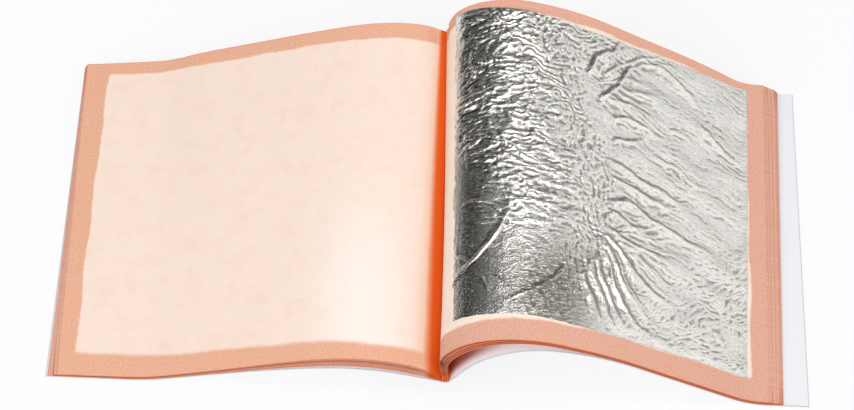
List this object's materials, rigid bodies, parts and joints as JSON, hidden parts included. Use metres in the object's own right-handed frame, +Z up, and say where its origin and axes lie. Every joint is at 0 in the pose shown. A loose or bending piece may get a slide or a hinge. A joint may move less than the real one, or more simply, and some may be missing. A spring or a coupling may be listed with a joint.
{
  "type": "silver leaf booklet",
  "caption": "Stapled booklet of rouged tissue pages in a card cover, lying open, with a square of beaten silver leaf between the pages.",
  "frame": {"origin": "on the table, under the middle of the open booklet's bounding box", "axes": "+X across the booklet from the opened left pages to the right block, +Y along the fold away from the reader, +Z up"},
  "size_m": [0.2044, 0.104, 0.0382],
  "materials": {
    "card": "uncoated white card",
    "tissue": "thin translucent tissue with a rubbed coat of orange rouge",
    "silver_leaf": "bright beaten silver leaf, finely wrinkled",
    "staple_wire": "bright galvanised wire"
  },
  "bodies": {
    "back_cover": {"cover_back": "card", "staple_near": "staple_wire", "staple_far": "staple_wire"},
    "front_cover": {"cover_front": "card"},
    "page_01": {"page_01": "tissue", "leaf_01": "silver_leaf"},
    "page_02": {"page_02": "tissue", "leaf_02": "silver_leaf"},
    "page_03": {"page_03": "tissue", "leaf_03": "silver_leaf"},
    "page_04": {"page_04": "tissue"},
    "page_05": {"page_05": "tissue", "leaf_04": "silver_leaf"},
    "page_06": {"page_06": "tissue", "leaf_05": "silver_leaf"},
    "page_07": {"page_07": "tissue", "leaf_06": "silver_leaf"},
    "page_08": {"page_08": "tissue", "leaf_07": "silver_leaf"},
    "page_09": {"page_09": "tissue", "leaf_08": "silver_leaf"},
    "page_10": {"page_10": "tissue", "leaf_09": "silver_leaf"},
    "page_11": {"page_11": "tissue", "leaf_10": "silver_leaf"},
    "page_12": {"page_12": "tissue", "leaf_11": "silver_leaf"},
    "page_13": {"page_13": "tissue", "leaf_12": "silver_leaf"},
    "page_14": {"page_14": "tissue", "leaf_13": "silver_leaf"},
    "page_15": {"page_15": "tissue", "leaf_14": "silver_leaf"},
    "page_16": {"page_16": "tissue", "leaf_15": "silver_leaf"},
    "page_17": {"page_17": "tissue", "leaf_16": "silver_leaf"},
    "page_18": {"page_18": "tissue", "leaf_17": "silver_leaf"},
    "page_19": {"page_19": "tissue", "leaf_18": "silver_leaf"},
    "page_20": {"page_20": "tissue", "leaf_19": "silver_leaf"},
    "page_21": {"page_21": "tissue", "leaf_20": "silver_leaf"},
    "page_22": {"page_22": "tissue", "leaf_21": "silver_leaf"},
    "page_23": {"page_23": "tissue", "leaf_22": "silver_leaf"},
    "page_24": {"page_24": "tissue", "leaf_23": "silver_leaf"},
    "page_25": {"page_25": "tissue", "leaf_24": "silver_leaf"},
    "page_26": {"page_26": "tissue", "leaf_25": "silver_leaf"}
  },
  "joints": [
    {"name": "front_cover_hinge", "type": "hinge", "parent": "back_cover", "child": "front_cover", "pos_m": [0.00574, -0.052, 0.0064], "axis": [-0.0313, 0.9861, 0.1631], "range_deg": [0, 45]},
    {"name": "page_04_hinge", "type": "hinge", "parent": "front_cover", "child": "page_04", "pos_m": [0.00574, -0.052, 0.0064], "axis": [-0.0313, 0.9861, 0.1631], "range_deg": [0, 10], "deforming": ["page_04"]},
    {"name": "page_03_hinge", "type": "hinge", "parent": "front_cover", "child": "page_03", "pos_m": [0.00574, -0.052, 0.0064], "axis": [-0.0313, 0.9861, 0.1631], "range_deg": [0, 7.16], "deforming": ["page_03", "leaf_03"]},
    {"name": "page_02_hinge", "type": "hinge", "parent": "front_cover", "child": "page_02", "pos_m": [0.00574, -0.052, 0.0064], "axis": [-0.0313, 0.9861, 0.1631], "range_deg": [0, 4.3], "deforming": ["page_02", "leaf_02"]},
    {"name": "page_01_hinge", "type": "hinge", "parent": "front_cover", "child": "page_01", "pos_m": [0.00574, -0.052, 0.0064], "axis": [-0.0313, 0.9861, 0.1631], "range_deg": [0, 1.44], "deforming": ["page_01", "leaf_01"]},
    {"name": "page_06_hinge", "type": "hinge", "parent": "back_cover", "child": "page_06", "pos_m": [0.00574, -0.052, 0.0064], "axis": [0.0313, -0.9861, -0.1631], "range_deg": [0, 35], "deforming": ["page_06", "leaf_05"]},
    {"name": "page_07_hinge", "type": "hinge", "parent": "back_cover", "child": "page_07", "pos_m": [0.00574, -0.052, 0.0064], "axis": [0.0313, -0.9861, -0.1631], "range_deg": [0, 33.31], "deforming": ["page_07", "leaf_06"]},
    {"name": "page_08_hinge", "type": "hinge", "parent": "back_cover", "child": "page_08", "pos_m": [0.00574, -0.052, 0.0064], "axis": [0.0313, -0.9861, -0.1631], "range_deg": [0, 31.6], "deforming": ["page_08", "leaf_07"]},
    {"name": "page_09_hinge", "type": "hinge", "parent": "back_cover", "child": "page_09", "pos_m": [0.00574, -0.052, 0.0064], "axis": [0.0313, -0.9861, -0.1631], "range_deg": [0, 29.89], "deforming": ["page_09", "leaf_08"]},
    {"name": "page_10_hinge", "type": "hinge", "parent": "back_cover", "child": "page_10", "pos_m": [0.00574, -0.052, 0.0064], "axis": [0.0313, -0.9861, -0.1631], "range_deg": [0, 28.19], "deforming": ["page_10", "leaf_09"]},
    {"name": "page_11_hinge", "type": "hinge", "parent": "back_cover", "child": "page_11", "pos_m": [0.00574, -0.052, 0.0064], "axis": [0.0313, -0.9861, -0.1631], "range_deg": [0, 26.48], "deforming": ["page_11", "leaf_10"]},
    {"name": "page_12_hinge", "type": "hinge", "parent": "back_cover", "child": "page_12", "pos_m": [0.00574, -0.052, 0.0064], "axis": [0.0313, -0.9861, -0.1631], "range_deg": [0, 24.77], "deforming": ["page_12", "leaf_11"]},
    {"name": "page_13_hinge", "type": "hinge", "parent": "back_cover", "child": "page_13", "pos_m": [0.00574, -0.052, 0.0064], "axis": [0.0313, -0.9861, -0.1631], "range_deg": [0, 23.06], "deforming": ["page_13", "leaf_12"]},
    {"name": "page_14_hinge", "type": "hinge", "parent": "back_cover", "child": "page_14", "pos_m": [0.00574, -0.052, 0.0064], "axis": [0.0313, -0.9861, -0.1631], "range_deg": [0, 21.36], "deforming": ["page_14", "leaf_13"]},
    {"name": "page_15_hinge", "type": "hinge", "parent": "back_cover", "child": "page_15", "pos_m": [0.00574, -0.052, 0.0064], "axis": [0.0313, -0.9861, -0.1631], "range_deg": [0, 19.65], "deforming": ["page_15", "leaf_14"]},
    {"name": "page_16_hinge", "type": "hinge", "parent": "back_cover", "child": "page_16", "pos_m": [0.00574, -0.052, 0.0064], "axis": [0.0313, -0.9861, -0.1631], "range_deg": [0, 17.94], "deforming": ["page_16", "leaf_15"]},
    {"name": "page_17_hinge", "type": "hinge", "parent": "back_cover", "child": "page_17", "pos_m": [0.00574, -0.052, 0.0064], "axis": [0.0313, -0.9861, -0.1631], "range_deg": [0, 16.23], "deforming": ["page_17", "leaf_16"]},
    {"name": "page_18_hinge", "type": "hinge", "parent": "back_cover", "child": "page_18", "pos_m": [0.00574, -0.052, 0.0064], "axis": [0.0313, -0.9861, -0.1631], "range_deg": [0, 14.53], "deforming": ["page_18", "leaf_17"]},
    {"name": "page_19_hinge", "type": "hinge", "parent": "back_cover", "child": "page_19", "pos_m": [0.00574, -0.052, 0.0064], "axis": [0.0313, -0.9861, -0.1631], "range_deg": [0, 12.82], "deforming": ["page_19", "leaf_18"]},
    {"name": "page_20_hinge", "type": "hinge", "parent": "back_cover", "child": "page_20", "pos_m": [0.00574, -0.052, 0.0064], "axis": [0.0313, -0.9861, -0.1631], "range_deg": [0, 11.11], "deforming": ["page_20", "leaf_19"]},
    {"name": "page_21_hinge", "type": "hinge", "parent": "back_cover", "child": "page_21", "pos_m": [0.00574, -0.052, 0.0064], "axis": [0.0313, -0.9861, -0.1631], "range_deg": [0, 9.41], "deforming": ["page_21", "leaf_20"]},
    {"name": "page_22_hinge", "type": "hinge", "parent": "back_cover", "child": "page_22", "pos_m": [0.00574, -0.052, 0.0064], "axis": [0.0313, -0.9861, -0.1631], "range_deg": [0, 7.7], "deforming": ["page_22", "leaf_21"]},
    {"name": "page_23_hinge", "type": "hinge", "parent": "back_cover", "child": "page_23", "pos_m": [0.00574, -0.052, 0.0064], "axis": [0.0313, -0.9861, -0.1631], "range_deg": [0, 5.99], "deforming": ["page_23", "leaf_22"]},
    {"name": "page_24_hinge", "type": "hinge", "parent": "back_cover", "child": "page_24", "pos_m": [0.00574, -0.052, 0.0064], "axis": [0.0313, -0.9861, -0.1631], "range_deg": [0, 4.28], "deforming": ["page_24", "leaf_23"]},
    {"name": "page_25_hinge", "type": "hinge", "parent": "back_cover", "child": "page_25", "pos_m": [0.00574, -0.052, 0.0064], "axis": [0.0313, -0.9861, -0.1631], "range_deg": [0, 2.58], "deforming": ["page_25", "leaf_24"]},
    {"name": "page_26_hinge", "type": "hinge", "parent": "back_cover", "child": "page_26", "pos_m": [0.00574, -0.052, 0.0064], "axis": [0.0313, -0.9861, -0.1631], "range_deg": [0, 0.87], "deforming": ["page_26", "leaf_25"]},
    {"name": "page_05_hinge", "type": "hinge", "parent": "page_06", "child": "page_05", "pos_m": [0.00574, -0.052, 0.0064], "axis": [0.0313, -0.9861, -0.1631], "range_deg": [0, 60], "deforming": ["page_05", "leaf_04"]}
  ],
  "couplings": [
    {"joint": "page_03_hinge", "follows": "page_04_hinge", "ratio": 0.7143},
    {"joint": "page_02_hinge", "follows": "page_04_hinge", "ratio": 0.4286},
    {"joint": "page_01_hinge", "follows": "page_04_hinge", "ratio": 0.1429},
    {"joint": "page_07_hinge", "follows": "page_06_hinge", "ratio": 0.9512},
    {"joint": "page_08_hinge", "follows": "page_06_hinge", "ratio": 0.9024},
    {"joint": "page_09_hinge", "follows": "page_06_hinge", "ratio": 0.8537},
    {"joint": "page_10_hinge", "follows": "page_06_hinge", "ratio": 0.8049},
    {"joint": "page_11_hinge", "follows": "page_06_hinge", "ratio": 0.7561},
    {"joint": "page_12_hinge", "follows": "page_06_hinge", "ratio": 0.7073},
    {"joint": "page_13_hinge", "follows": "page_06_hinge", "ratio": 0.6585},
    {"joint": "page_14_hinge", "follows": "page_06_hinge", "ratio": 0.6098},
    {"joint": "page_15_hinge", "follows": "page_06_hinge", "ratio": 0.561},
    {"joint": "page_16_hinge", "follows": "page_06_hinge", "ratio": 0.5122},
    {"joint": "page_17_hinge", "follows": "page_06_hinge", "ratio": 0.4634},
    {"joint": "page_18_hinge", "follows": "page_06_hinge", "ratio": 0.4146},
    {"joint": "page_19_hinge", "follows": "page_06_hinge", "ratio": 0.3659},
    {"joint": "page_20_hinge", "follows": "page_06_hinge", "ratio": 0.3171},
    {"joint": "page_21_hinge", "follows": "page_06_hinge", "ratio": 0.2683},
    {"joint": "page_22_hinge", "follows": "page_06_hinge", "ratio": 0.2195},
    {"joint": "page_23_hinge", "follows": "page_06_hinge", "ratio": 0.1707},
    {"joint": "page_24_hinge", "follows": "page_06_hinge", "ratio": 0.122},
    {"joint": "page_25_hinge", "follows": "page_06_hinge", "ratio": 0.0732},
    {"joint": "page_26_hinge", "follows": "page_06_hinge", "ratio": 0.0244}
  ]
}
